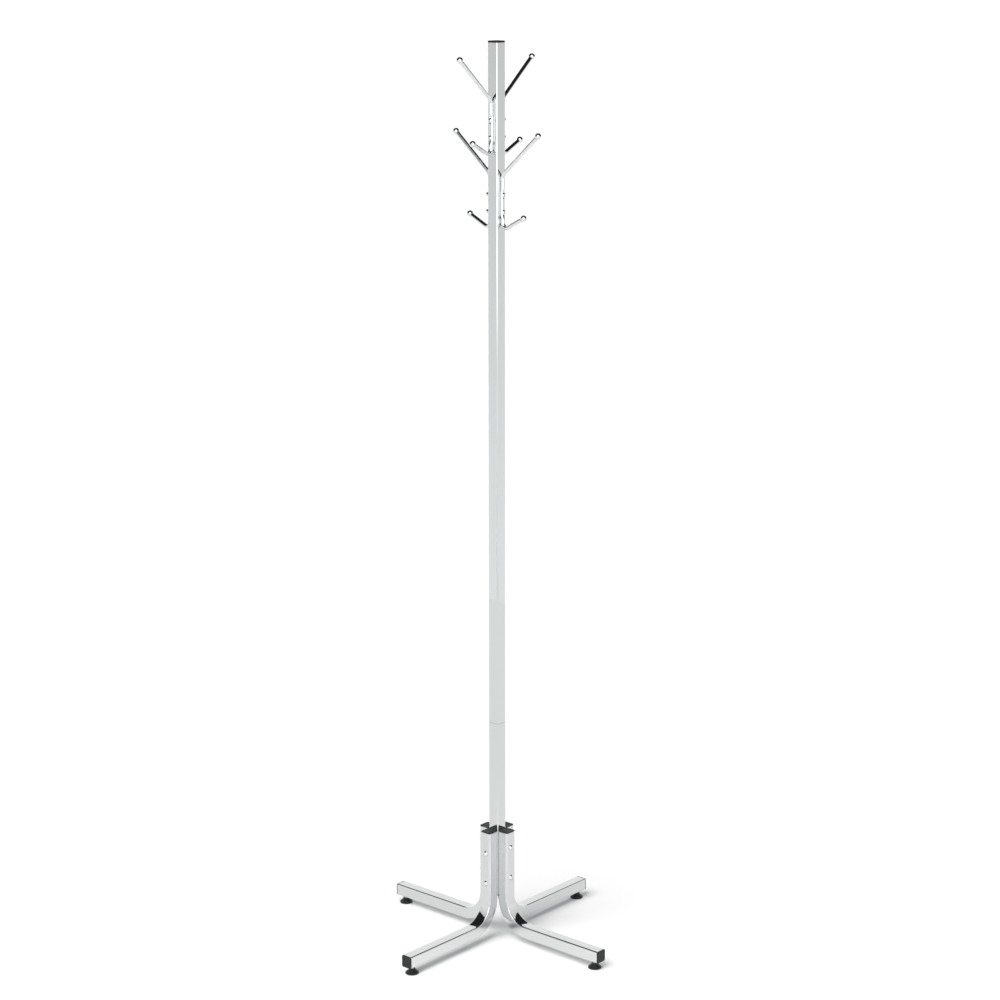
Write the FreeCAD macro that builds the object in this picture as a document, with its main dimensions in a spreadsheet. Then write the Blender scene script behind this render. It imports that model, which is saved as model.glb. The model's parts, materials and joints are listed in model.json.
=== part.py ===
"""Standing coat rack: a square post, four bent legs, four double hooks and four levelling glides.

Millimetres, +Z up. The origin is on the post's axis at the floor. The front-right leg points
along +X, front-left along -Y, back-left along -X and back-right along +Y.
"""
import FreeCAD, Part
import math
import os

import Sketcher

SIZES = {
    # square steel tube, shared by the post and the legs
    "tube_side": (25.0, "outside width of the tube"),
    "tube_wall": (1.2, "wall thickness"),
    "tube_corner": (3.0, "outside corner radius"),
    # post
    "post_bottom": (93.0, "height of the tube's lower end"),
    "post_joint": (463.0, "height of the butt joint between the two post tubes"),
    "post_top": (1825.6, "height of the tube's upper end"),
    "sleeve_length": (120.0, "length of the inner sleeve across the joint"),
    "sleeve_wall": (1.5, "wall thickness of the sleeve"),
    # plastic plugs
    "post_cap_flange": (3.4, "thickness of the post's top flange"),
    "plug_flange": (2.0, "thickness of the other flanges"),
    "plug_depth": (8.0, "how far a plug reaches into its tube"),
    "plug_wall": (2.0, "wall thickness of a plug's spigot"),
    # legs
    "leg_top": (232.6, "height of a leg tube's upper end"),
    "leg_bottom": (16.0, "height of the foot's underside"),
    "leg_bend": (60.0, "centreline radius of the bend"),
    "leg_reach": (274.4, "distance from the post's axis to the tube's outer end"),
    # leg bolts
    "leg_bolt_dia": (6.0, "bolt diameter"),
    "leg_bolt_hole": (6.6, "clearance hole"),
    "leg_bolt_pitch": (65.0, "distance between a pair's two bolts"),
    "leg_bolt_low": (155.0, "mid height of the front-left and back-right pair"),
    "leg_bolt_high": (167.0, "mid height of the front-right and back-left pair"),
    "leg_head_dia": (11.5, "head diameter"),
    "leg_head_height": (3.4, "head height"),
    "leg_head_flat": (5.6, "diameter of the flat on top of the head"),
    "leg_head_socket": (4.0, "hexagon socket across flats"),
    "leg_socket_depth": (2.0, "depth of the hexagon socket"),
    "leg_nut_flats": (10.0, "cap nut across flats"),
    "leg_nut_hex": (5.0, "height of the nut's hexagon"),
    "leg_nut_dome": (9.5, "diameter of the nut's dome"),
    "leg_nut_height": (9.8, "overall height of the nut"),
    "leg_nut_bore": (6.5, "depth of the nut's bore"),
    # hook bolts
    "hook_bolt_dia": (5.0, "bolt diameter"),
    "hook_bolt_hole": (5.4, "clearance hole"),
    "hook_bolt_pitch": (33.0, "distance between a pair's two bolts"),
    "hook_head_dia": (9.5, "head diameter"),
    "hook_head_height": (2.75, "head height"),
    "hook_head_flat": (4.6, "diameter of the flat on top of the head"),
    "hook_head_socket": (3.0, "hexagon socket across flats"),
    "hook_socket_depth": (1.6, "depth of the hexagon socket"),
    "hook_nut_flats": (8.0, "cap nut across flats"),
    "hook_nut_hex": (4.0, "height of the nut's hexagon"),
    "hook_nut_dome": (7.5, "diameter of the nut's dome"),
    "hook_nut_height": (8.0, "overall height of the nut"),
    "hook_nut_bore": (5.2, "depth of the nut's bore"),
    # coat hooks
    "hook_high": (1661.5, "mid height of the upper pair of hooks"),
    "hook_low": (1518.5, "mid height of the lower pair of hooks"),
    "rod_dia": (8.0, "diameter of the hook's rod"),
    "flat_width": (9.6, "width of the pressed flat"),
    "flat_thick": (5.5, "thickness of the pressed flat"),
    "flat_half": (22.0, "half the height of the pressed flat"),
    "round_from": (31.0, "height above and below the middle where the rod is round again"),
    "long_reach": (104.75, "long arm: from the post's axis to the ball"),
    "long_rise": (133.7, "long arm: ball above the hook's middle"),
    "long_angle": (41.5, "long arm: degrees above the horizontal"),
    "long_bend": (18.0, "long arm: centreline radius of the bend"),
    "short_reach": (69.0, "short arm: from the post's axis to the ball"),
    "short_drop": (25.0, "short arm: ball below the hook's middle"),
    "short_angle": (27.0, "short arm: degrees above the horizontal"),
    "short_bend": (9.0, "short arm: centreline radius of the bend"),
    "ball_dia": (12.6, "diameter of a ball tip"),
    "ball_seat": (1.5, "rod end to ball centre"),
    # levelling glides
    "glide_reach": (260.0, "distance from the post's axis to a glide's axis"),
    "glide_dia": (27.0, "diameter of the foot"),
    "glide_rim": (2.8, "height of the foot's upright rim"),
    "glide_edge": (0.7, "small bevel round the foot's lower edge"),
    "glide_neck_dia": (12.6, "diameter of the neck above the cone"),
    "glide_cone_top": (8.6, "height where the cone meets the neck"),
    "glide_height": (11.0, "height of the moulded foot"),
    "socket_floor": (2.4, "height of the floor of the foot's socket"),
    "socket_roof": (6.1, "height of the roof of the foot's socket"),
    "stem_dia": (7.9, "diameter over the stem's thread"),
    "stem_bore": (8.0, "bore for the stem, in the foot and in the insert"),
    "stem_head_dia": (12.0, "diameter of the stem's captured head"),
    "stem_top": (35.0, "height of the stem's upper end"),
    "stem_point": (1.0, "bevel on the stem's upper end"),
    "head_play": (0.1, "gap all round the captured head"),
    "insert_flange_dia": (14.0, "diameter of the insert's flange"),
    "insert_flange": (1.0, "thickness of the insert's flange"),
    "insert_dia": (11.0, "diameter of the insert's barrel"),
    "insert_top": (31.0, "height of the insert's upper end"),
}

# leg and hook sides, as degrees about +Z from the front-right (+X) side
SIDES = {"front_right": 0.0, "back_right": 90.0, "back_left": 180.0, "front_left": 270.0}
UPPER_HOOKS = ("front_left", "back_right")
LOWER_HOOKS = ("front_right", "back_left")
LEG_PAIRS = {"front_left_back_right": ("leg_bolt_low", "front_left"),
             "front_right_back_left": ("leg_bolt_high", "front_right")}

X_AXIS = FreeCAD.Vector(1, 0, 0)
Y_AXIS = FreeCAD.Vector(0, 1, 0)
Z_AXIS = FreeCAD.Vector(0, 0, 1)
START, END, CENTRE = 1, 2, 3
ORIGIN = (-1, 1)
H_AXIS = -1
V_AXIS = -2

doc = FreeCAD.newDocument("coat_rack")
sheet = doc.addObject("Spreadsheet::Sheet", "Sizes")


def fill_sheet():
    """One row for each driving dimension: its name, its value and what it is."""
    for row, (alias, (value, note)) in enumerate(SIZES.items(), start=1):
        sheet.set(f"A{row}", alias)
        sheet.set(f"B{row}", str(value))
        sheet.set(f"C{row}", note)
        sheet.setAlias(f"B{row}", alias)
    doc.recompute()


def size(alias):
    """The value of one driving dimension."""
    return float(sheet.get(alias))


def bind(target, prefix="", **expressions):
    """Bind properties, or a sketch's named constraints, to expressions over the sheet."""
    for name, expression in expressions.items():
        target.setExpression(prefix + name, expression)


def about_z(degrees, height=0.0):
    return FreeCAD.Placement(FreeCAD.Vector(0, 0, height), FreeCAD.Rotation(Z_AXIS, degrees))


# ---------------------------------------------------------------- sketch helpers

def new_body(label):
    body = doc.addObject("PartDesign::Body", label)
    body.Label = label
    body.AllowCompound = True
    return body


def origin_feature(body, role):
    return next(item for item in body.Origin.OriginFeatures if item.Role == role)


def new_sketch(body, role, name, **offsets):
    """A sketch on one of the body's own planes. Offsets are expressions for x, y or z."""
    sketch = body.newObject("Sketcher::SketchObject", f"{body.Label}_{name}")
    sketch.AttachmentSupport = [(origin_feature(body, role), "")]
    sketch.MapMode = "FlatFace"
    for axis, expression in offsets.items():
        sketch.setExpression(f"AttachmentOffset.Base.{axis}", expression)
    return sketch


def name_constraint(sketch, name, constraint, expression):
    index = sketch.addConstraint(constraint)
    sketch.renameConstraint(index, name)
    bind(sketch, prefix="Constraints.", **{name: expression})


def at(x, y):
    return FreeCAD.Vector(x, y, 0)


def arc_about(centre, radius, first, last):
    """An arc of a circle in the sketch, from one angle to another in degrees."""
    circle = Part.Circle(centre, Z_AXIS, radius)
    return Part.ArcOfCircle(circle, math.radians(first), math.radians(last))


def rounded_square(sketch, name, side, corner):
    """A square with rounded corners round the sketch's origin, bound to two expressions."""
    half, radius = 10.0, 2.0
    flat = half - radius
    lines, arcs = [], []
    for turn in range(4):
        spin = FreeCAD.Rotation(Z_AXIS, 90.0 * turn)
        ends = [spin.multVec(at(half, y)) for y in (-flat, flat)]
        lines.append(sketch.addGeometry(Part.LineSegment(*ends)))
        corner_centre = spin.multVec(at(flat, flat))
        arcs.append(sketch.addGeometry(arc_about(corner_centre, radius, 90 * turn, 90 * turn + 90)))
    for turn in range(4):
        following = lines[(turn + 1) % 4]
        sketch.addConstraint(Sketcher.Constraint("Tangent", lines[turn], END, arcs[turn], START))
        sketch.addConstraint(Sketcher.Constraint("Tangent", arcs[turn], END, following, START))
        if turn:
            sketch.addConstraint(Sketcher.Constraint("Equal", arcs[0], arcs[turn]))
        heading = "Horizontal" if turn % 2 else "Vertical"
        sketch.addConstraint(Sketcher.Constraint(heading, lines[turn]))
    sketch.addConstraint(Sketcher.Constraint("Symmetric", arcs[0], CENTRE, arcs[2], CENTRE, *ORIGIN))
    across = Sketcher.Constraint("DistanceX", lines[2], START, lines[0], START, 2 * half)
    up = Sketcher.Constraint("DistanceY", lines[3], START, lines[1], START, 2 * half)
    name_constraint(sketch, f"{name}_wide", across, side)
    name_constraint(sketch, f"{name}_tall", up, side)
    name_constraint(sketch, f"{name}_corner", Sketcher.Constraint("Radius", arcs[0], radius), corner)


def circle_at(sketch, name, diameter, x="0", y="0"):
    """A circle whose diameter and centre are expressions."""
    index = sketch.addGeometry(Part.Circle(at(1, 1), Z_AXIS, 1.0))
    name_constraint(sketch, f"{name}_dia", Sketcher.Constraint("Diameter", index, 2.0), diameter)
    name_constraint(sketch, f"{name}_x", Sketcher.Constraint("DistanceX", index, CENTRE, 1.0), x)
    name_constraint(sketch, f"{name}_y", Sketcher.Constraint("DistanceY", index, CENTRE, 1.0), y)


def hexagon(sketch, flats):
    """A regular hexagon round the sketch's origin, with two sides upright."""
    ring = sketch.addGeometry(Part.Circle(at(0, 0), Z_AXIS, 1.0), True)
    sketch.addConstraint(Sketcher.Constraint("Coincident", ring, CENTRE, *ORIGIN))
    corners = [at(math.cos(a), math.sin(a)) for a in (math.radians(60 * n + 30) for n in range(6))]
    sides = [sketch.addGeometry(Part.LineSegment(corners[n - 1], corners[n])) for n in range(6)]
    for n, side in enumerate(sides):
        sketch.addConstraint(Sketcher.Constraint("Coincident", sides[n - 1], END, side, START))
        sketch.addConstraint(Sketcher.Constraint("PointOnObject", side, START, ring))
        if n:
            sketch.addConstraint(Sketcher.Constraint("Equal", sides[0], side))
    sketch.addConstraint(Sketcher.Constraint("Vertical", sides[0]))
    name_constraint(sketch, "ring", Sketcher.Constraint("Diameter", ring, 2.0),
                    f"{flats} / cos(30)")


def outline(sketch, points, arcs=None):
    """A closed outline through points whose coordinates are expressions.

    arcs maps the index of a stretch to the axis that its arc's centre lies on; every other
    stretch is straight.
    """
    arcs = arcs or {}
    places = [at(evaluate(x), evaluate(y)) for x, y in points]
    edges = []
    for n, start in enumerate(places):
        end = places[(n + 1) % len(places)]
        edges.append(sketch.addGeometry(arc_on_axis(start, end, arcs[n]) if n in arcs
                                        else Part.LineSegment(start, end)))
    ends = [edge_ends(sketch, edge, places[n]) for n, edge in enumerate(edges)]
    for n, edge in enumerate(edges):
        before = n - 1
        sketch.addConstraint(Sketcher.Constraint("Coincident", edges[before], ends[before][1],
                                                 edge, ends[n][0]))
        pin_point(sketch, edge, ends[n][0], *points[n], n)
        if n in arcs:
            sketch.addConstraint(Sketcher.Constraint("PointOnObject", edge, CENTRE, arcs[n]))


def pin_point(sketch, edge, end, x, y, n):
    """Hold one outline point at its two coordinates."""
    for letter, text, kind, axis in (("x", x, "DistanceX", V_AXIS), ("y", y, "DistanceY", H_AXIS)):
        value = evaluate(text)
        if abs(value) < 1e-9:
            sketch.addConstraint(Sketcher.Constraint("PointOnObject", edge, end, axis))
        else:
            constraint = Sketcher.Constraint(kind, edge, end, value)
            name_constraint(sketch, f"point{n}_{letter}", constraint, text)


def evaluate(expression):
    """The present value of an expression over the sheet."""
    return float(sheet.evalExpression(expression))


def arc_on_axis(start, end, axis):
    """The arc from start to end whose centre lies on the sketch's H or V axis."""
    if axis == H_AXIS:
        middle = (end.x ** 2 + end.y ** 2 - start.x ** 2 - start.y ** 2) / (2 * (end.x - start.x))
        centre = at(middle, 0)
    else:
        middle = (end.x ** 2 + end.y ** 2 - start.x ** 2 - start.y ** 2) / (2 * (end.y - start.y))
        centre = at(0, middle)
    radius = start.distanceToPoint(centre)
    halfway = (start - centre + end - centre).normalize() * radius
    return Part.Arc(start, centre + halfway, end)


def edge_ends(sketch, edge, first_place):
    """Which end of an edge comes first along the outline, and which comes last."""
    if sketch.Geometry[edge].StartPoint.distanceToPoint(first_place) < 1e-6:
        return START, END
    return END, START


# ---------------------------------------------------------------- feature helpers

def pad(body, sketch, length, down=False, both=False):
    feature = body.newObject("PartDesign::Pad", f"{sketch.Label}_pad")
    feature.Profile = sketch
    feature.Reversed = down
    feature.Midplane = both
    bind(feature, Length=length)
    sketch.Visibility = False
    return feature


def pocket(body, sketch, length, up=False):
    """Cut against the sketch's normal, or along it when up is set."""
    feature = body.newObject("PartDesign::Pocket", f"{sketch.Label}_pocket")
    feature.Profile = sketch
    feature.Reversed = up
    bind(feature, Length=length)
    return feature


def revolve(body, sketch, axis):
    feature = body.newObject("PartDesign::Revolution", f"{sketch.Label}_turn")
    feature.Profile = sketch
    feature.ReferenceAxis = (sketch, [axis])
    feature.Angle = 360.0
    return feature


def pair_along_z(body, originals, pitch):
    """A second copy of the features, one pitch higher."""
    pattern = body.newObject("PartDesign::LinearPattern", f"{body.Label}_pair")
    pattern.Originals = originals
    pattern.Direction = (origin_feature(body, "Z_Axis"), [""])
    pattern.Occurrences = 2
    bind(pattern, Length=pitch)
    body.Tip = pattern
    return pattern


# ---------------------------------------------------------------- tubes and plugs

INNER_SIDE = "Sizes.tube_side - 2 * Sizes.tube_wall"
INNER_CORNER = "Sizes.tube_corner - Sizes.tube_wall"


def tube_outline(sketch):
    rounded_square(sketch, "outer", "Sizes.tube_side", "Sizes.tube_corner")
    rounded_square(sketch, "inner", INNER_SIDE, INNER_CORNER)


def cross_holes(body, role, heights, diameter):
    """Round holes right through the tube, at the given heights."""
    sketch = new_sketch(body, role, f"holes_{role[:2].lower()}")
    for n, height in enumerate(heights):
        circle_at(sketch, f"hole{n}", diameter, y=height)
    feature = pocket(body, sketch, "2 * Sizes.tube_side")
    feature.Midplane = True


def bolt_heights(middle, pitch):
    return [f"Sizes.{middle} {sign} Sizes.{pitch} / 2" for sign in "-+"]


def post_tube(label, bottom, top):
    body = new_body(label)
    sketch = new_sketch(body, "XY_Plane", "section", z=f"Sizes.{bottom}")
    tube_outline(sketch)
    pad(body, sketch, f"Sizes.{top} - Sizes.{bottom}")
    return body


def make_post():
    lower = post_tube("lower_post", "post_bottom", "post_joint")
    cross_holes(lower, "XZ_Plane", bolt_heights("leg_bolt_low", "leg_bolt_pitch"), "Sizes.leg_bolt_hole")
    cross_holes(lower, "YZ_Plane", bolt_heights("leg_bolt_high", "leg_bolt_pitch"), "Sizes.leg_bolt_hole")
    upper = post_tube("upper_post", "post_joint", "post_top")
    cross_holes(upper, "XZ_Plane", bolt_heights("hook_high", "hook_bolt_pitch"), "Sizes.hook_bolt_hole")
    cross_holes(upper, "YZ_Plane", bolt_heights("hook_low", "hook_bolt_pitch"), "Sizes.hook_bolt_hole")
    sleeve = new_body("post_joint_sleeve")
    sketch = new_sketch(sleeve, "XY_Plane", "section", z="Sizes.post_joint")
    rounded_square(sketch, "outer", INNER_SIDE, INNER_CORNER)
    rounded_square(sketch, "inner", f"{INNER_SIDE} - 2 * Sizes.sleeve_wall", "Sizes.tube_wall")
    pad(sleeve, sketch, "Sizes.sleeve_length", both=True)
    return [lower, upper, sleeve]


def tube_plug(label, flange, placement):
    """A plug with its flange on +Z and its hollow spigot on -Z, the tube's end at its origin."""
    body = new_body(label)
    face = new_sketch(body, "XY_Plane", "flange")
    rounded_square(face, "outer", "Sizes.tube_side", "Sizes.tube_corner")
    pad(body, face, flange)
    spigot = new_sketch(body, "XY_Plane", "spigot")
    rounded_square(spigot, "outer", INNER_SIDE, INNER_CORNER)
    rounded_square(spigot, "inner", f"{INNER_SIDE} - 2 * Sizes.plug_wall", "Sizes.tube_wall")
    pad(body, spigot, "Sizes.plug_depth", down=True)
    body.Placement = placement
    return body


def make_post_plugs():
    upside_down = FreeCAD.Placement(FreeCAD.Vector(0, 0, size("post_bottom")),
                                    FreeCAD.Rotation(X_AXIS, 180))
    return [tube_plug("post_top_cap", "Sizes.post_cap_flange", about_z(0, size("post_top"))),
            tube_plug("post_bottom_plug", "Sizes.plug_flange", upside_down)]


# ---------------------------------------------------------------- legs

def leg_path(body):
    """Down beside the post, round the bend and out along the floor."""
    top, radius = size("leg_top"), size("leg_bend")
    across = size("tube_side")
    level = size("leg_bottom") + across / 2
    reach = size("leg_reach")
    sketch = new_sketch(body, "XZ_Plane", "path")
    upright = sketch.addGeometry(Part.LineSegment(at(across, top), at(across, level + radius)))
    bend = sketch.addGeometry(arc_about(at(across + radius, level + radius), radius, 180, 270))
    foot = sketch.addGeometry(Part.LineSegment(at(across + radius, level), at(reach, level)))
    sketch.addConstraint(Sketcher.Constraint("Tangent", upright, END, bend, START))
    sketch.addConstraint(Sketcher.Constraint("Tangent", bend, END, foot, START))
    sketch.addConstraint(Sketcher.Constraint("Vertical", upright))
    sketch.addConstraint(Sketcher.Constraint("Horizontal", foot))
    driven = {
        "beside": (Sketcher.Constraint("DistanceX", upright, START, across), "Sizes.tube_side"),
        "top": (Sketcher.Constraint("DistanceY", upright, START, top), "Sizes.leg_top"),
        "level": (Sketcher.Constraint("DistanceY", foot, END, level),
                  "Sizes.leg_bottom + Sizes.tube_side / 2"),
        "reach": (Sketcher.Constraint("DistanceX", foot, END, reach), "Sizes.leg_reach"),
        "bend": (Sketcher.Constraint("Radius", bend, radius), "Sizes.leg_bend"),
    }
    for name, (constraint, expression) in driven.items():
        name_constraint(sketch, name, constraint, expression)
    return sketch


def make_leg(side, bolt_middle):
    body = new_body(f"leg_{side}")
    path = leg_path(body)
    section = new_sketch(body, "XY_Plane", "section", x="Sizes.tube_side", z="Sizes.leg_top")
    tube_outline(section)
    pipe = body.newObject("PartDesign::AdditivePipe", f"leg_{side}_pipe")
    pipe.Profile = section
    pipe.Spine = (path, [])
    bolts = new_sketch(body, "YZ_Plane", "bolt_holes")
    for n, height in enumerate(bolt_heights(bolt_middle, "leg_bolt_pitch")):
        circle_at(bolts, f"bolt{n}", "Sizes.leg_bolt_hole", y=height)
    pocket(body, bolts, "2 * Sizes.tube_side", up=True)
    seat = new_sketch(body, "XY_Plane", "insert_hole")
    circle_at(seat, "insert", "Sizes.insert_dia", x="Sizes.glide_reach")
    pocket(body, seat, "Sizes.leg_bottom + 2 * Sizes.tube_wall", up=True)
    body.Placement = about_z(SIDES[side])
    return body


def make_legs():
    parts = []
    for middle, first in LEG_PAIRS.values():
        opposite = next(s for s, turn in SIDES.items() if abs(turn - SIDES[first]) == 180)
        parts += [make_leg(side, middle) for side in (first, opposite)]
    beside = FreeCAD.Placement(FreeCAD.Vector(size("tube_side"), 0, size("leg_top")),
                               FreeCAD.Rotation())
    level = size("leg_bottom") + size("tube_side") / 2
    outward = FreeCAD.Placement(FreeCAD.Vector(size("leg_reach"), 0, level),
                                FreeCAD.Rotation(Y_AXIS, 90))
    for side, turn in SIDES.items():
        around = about_z(turn)
        parts.append(tube_plug(f"leg_top_cap_{side}", "Sizes.plug_flange", around * beside))
        parts.append(tube_plug(f"leg_end_cap_{side}", "Sizes.plug_flange", around * outward))
    return parts


# ---------------------------------------------------------------- fasteners

def bolt_pair(label, kind, grip, placement):
    """Two button-head bolts along X, their heads on +X. The stack they clamp is 2 * grip thick."""
    body = new_body(label)
    sketch = new_sketch(body, "XZ_Plane", "profile")
    tip = f"-({grip}) - Sizes.{kind}_nut_hex"
    under, top = grip, f"{grip} + Sizes.{kind}_head_height"
    shank, flat = f"Sizes.{kind}_bolt_dia / 2", f"Sizes.{kind}_head_flat / 2"
    rim = f"Sizes.{kind}_head_dia / 2"
    points = [(tip, "0"), (top, "0"), (top, flat), (under, rim), (under, shank), (tip, shank)]
    outline(sketch, points, arcs={2: H_AXIS})
    turned = revolve(body, sketch, "H_Axis")
    socket = new_sketch(body, "YZ_Plane", "socket", z=top)
    hexagon(socket, f"Sizes.{kind}_head_socket")
    cut = pocket(body, socket, f"Sizes.{kind}_socket_depth")
    pair_along_z(body, [turned, cut], f"Sizes.{kind}_bolt_pitch")
    body.Placement = placement
    return body


def nut_pair(label, kind, grip, placement):
    """Two cap nuts on the bolts' -X ends."""
    body = new_body(label)
    hexagonal = new_sketch(body, "YZ_Plane", "hexagon", z=f"-({grip})")
    hexagon(hexagonal, f"Sizes.{kind}_nut_flats")
    block = pad(body, hexagonal, f"Sizes.{kind}_nut_hex", down=True)
    dome = new_sketch(body, "XZ_Plane", "dome")
    near = f"-({grip}) - Sizes.{kind}_nut_hex"
    radius = f"Sizes.{kind}_nut_dome / 2"
    far = f"-({grip}) - Sizes.{kind}_nut_height"
    shoulder = f"{far} + {radius}"
    outline(dome, [(far, "0"), (near, "0"), (near, radius), (shoulder, radius)], arcs={3: H_AXIS})
    domed = revolve(body, dome, "H_Axis")
    bore = new_sketch(body, "YZ_Plane", "bore", z=f"-({grip})")
    circle_at(bore, "bore", f"Sizes.{kind}_bolt_dia")
    drilled = pocket(body, bore, f"Sizes.{kind}_nut_bore")
    pair_along_z(body, [block, domed, drilled], f"Sizes.{kind}_bolt_pitch")
    body.Placement = placement
    return body


def make_fasteners():
    """Each pair of bolts clamps the piece on one side, the post and the piece on the other side."""
    hook_grip = "Sizes.tube_side / 2 + Sizes.flat_thick"
    leg_grip = "Sizes.tube_side / 2 + Sizes.tube_side"
    hook_start = -size("hook_bolt_pitch") / 2
    sets = [("hook", "upper", hook_grip, about_z(SIDES["front_left"], size("hook_high") + hook_start)),
            ("hook", "lower", hook_grip, about_z(SIDES["front_right"], size("hook_low") + hook_start))]
    for name, (middle, heads) in LEG_PAIRS.items():
        low_bolt = size(middle) - size("leg_bolt_pitch") / 2
        sets.append(("leg", name, leg_grip, about_z(SIDES[heads], low_bolt)))
    parts = []
    for kind, name, grip, placement in sets:
        parts.append(bolt_pair(f"{kind}_bolts_{name}", kind, grip, placement))
        parts.append(nut_pair(f"{kind}_cap_nuts_{name}", kind, grip, placement))
    return parts


# ---------------------------------------------------------------- coat hooks

def arm_path(body, name, up):
    """From the round stretch beside the post, round the bend and out to the ball tip."""
    kind, sign = ("long", 1) if up else ("short", -1)
    height = f"Sizes.{kind}_rise" if up else f"-Sizes.{kind}_drop"
    angle, radius = size(f"{kind}_angle"), size(f"{kind}_bend")
    rod_x = "Sizes.tube_side / 2 + Sizes.rod_dia / 2"
    start_z = f"{sign} * Sizes.round_from"
    end_x = f"Sizes.{kind}_reach - Sizes.ball_seat * cos(Sizes.{kind}_angle)"
    end_z = f"{height} - Sizes.ball_seat * sin(Sizes.{kind}_angle)"
    start = at(evaluate(rod_x), evaluate(start_z))
    end = at(evaluate(end_x), evaluate(end_z))
    slope = math.radians(angle)
    corner = at(start.x, end.y - (end.x - start.x) * math.tan(slope))
    turned = 90 - angle if up else 90 + angle
    setback = radius * math.tan(math.radians(turned / 2))
    leaves = corner + at(0, -sign * setback)
    meets = corner + at(math.cos(slope), math.sin(slope)) * setback
    centre = leaves + at(radius, 0)
    sketch = new_sketch(body, "XZ_Plane", name)
    upright = sketch.addGeometry(Part.LineSegment(start, leaves))
    if up:
        bend = sketch.addGeometry(arc_about(centre, radius, 90 + angle, 180))
        bend_first, bend_last = END, START
    else:
        bend = sketch.addGeometry(arc_about(centre, radius, 180, 270 + angle))
        bend_first, bend_last = START, END
    arm = sketch.addGeometry(Part.LineSegment(meets, end))
    sketch.addConstraint(Sketcher.Constraint("Tangent", upright, END, bend, bend_first))
    sketch.addConstraint(Sketcher.Constraint("Tangent", bend, bend_last, arm, START))
    sketch.addConstraint(Sketcher.Constraint("Vertical", upright))
    driven = {
        "start_x": (Sketcher.Constraint("DistanceX", upright, START, start.x), rod_x),
        "start_z": (Sketcher.Constraint("DistanceY", upright, START, start.y), start_z),
        "end_x": (Sketcher.Constraint("DistanceX", arm, END, end.x), end_x),
        "end_z": (Sketcher.Constraint("DistanceY", arm, END, end.y), end_z),
        "bend": (Sketcher.Constraint("Radius", bend, radius), f"Sizes.{kind}_bend"),
    }
    for key, (constraint, expression) in driven.items():
        name_constraint(sketch, key, constraint, expression)
    sketch.addConstraint(Sketcher.Constraint("Angle", H_AXIS, START, arm, START, slope))
    return sketch


def flat_section(sketch):
    """The pressed flat: two broad faces and two round edges."""
    radius = size("flat_thick") / 2
    reach = size("flat_width") / 2 - radius
    front = sketch.addGeometry(Part.LineSegment(at(radius, -reach), at(radius, reach)))
    left = sketch.addGeometry(arc_about(at(0, reach), radius, 0, 180))
    back = sketch.addGeometry(Part.LineSegment(at(-radius, reach), at(-radius, -reach)))
    right = sketch.addGeometry(arc_about(at(0, -reach), radius, 180, 360))
    ring = [front, left, back, right]
    for n, edge in enumerate(ring):
        sketch.addConstraint(Sketcher.Constraint("Tangent", ring[n - 1], END, edge, START))
    sketch.addConstraint(Sketcher.Constraint("Equal", left, right))
    sketch.addConstraint(Sketcher.Constraint("PointOnObject", left, CENTRE, V_AXIS))
    sketch.addConstraint(Sketcher.Constraint("Symmetric", left, CENTRE, right, CENTRE, *ORIGIN))
    name_constraint(sketch, "radius", Sketcher.Constraint("Radius", left, radius),
                    "Sizes.flat_thick / 2")
    name_constraint(sketch, "length", Sketcher.Constraint("DistanceY", front, START, front, END,
                                                          2 * reach),
                    "Sizes.flat_width - Sizes.flat_thick")


def make_hook(label, placement):
    """One bent rod: pressed flat between its two bolt holes, a long arm above, a short one below."""
    body = new_body(label)
    rod_x = "Sizes.tube_side / 2 + Sizes.rod_dia / 2"
    flat_x = "Sizes.tube_side / 2 + Sizes.flat_thick / 2"
    flat = new_sketch(body, "XY_Plane", "flat", x=flat_x)
    flat_section(flat)
    pad(body, flat, "2 * Sizes.flat_half", both=True)
    for end, sign in (("upper", "1"), ("lower", "-1")):
        flat_end = new_sketch(body, "XY_Plane", f"{end}_flat_end", x=flat_x,
                              z=f"{sign} * Sizes.flat_half")
        flat_section(flat_end)
        rod_section = new_sketch(body, "XY_Plane", f"{end}_rod", x=rod_x,
                                 z=f"{sign} * Sizes.round_from")
        circle_at(rod_section, "rod", "Sizes.rod_dia")
        swell = body.newObject("PartDesign::AdditiveLoft", f"{label}_{end}_swell")
        swell.Profile = flat_end
        swell.Sections = [rod_section]
        arm = body.newObject("PartDesign::AdditivePipe", f"{label}_{end}_arm")
        arm.Profile = rod_section
        arm.Spine = (arm_path(body, f"{end}_path", end == "upper"), [])
        body.Tip = arm
    bolts = new_sketch(body, "YZ_Plane", "bolt_holes")
    for n, sign in enumerate("-+"):
        circle_at(bolts, f"bolt{n}", "Sizes.hook_bolt_hole", y=f"{sign}Sizes.hook_bolt_pitch / 2")
    pocket(body, bolts, "Sizes.tube_side / 2 + Sizes.rod_dia", up=True)
    body.Placement = placement
    return body


def make_ball(label, placement):
    """A ball with a blind bore for the rod's end; the rod comes in from -Z."""
    body = new_body(label)
    sketch = new_sketch(body, "XZ_Plane", "profile")
    bore, radius = "Sizes.rod_dia / 2", "Sizes.ball_dia / 2"
    mouth = "-sqrt((Sizes.ball_dia / 2) ^ 2 - (Sizes.rod_dia / 2) ^ 2)"
    points = [("0", "-Sizes.ball_seat"), (bore, "-Sizes.ball_seat"), (bore, mouth),
              (radius, "0"), ("0", radius)]
    outline(sketch, points, arcs={2: V_AXIS, 3: V_AXIS})
    revolve(body, sketch, "V_Axis")
    body.Placement = placement
    return body


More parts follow.
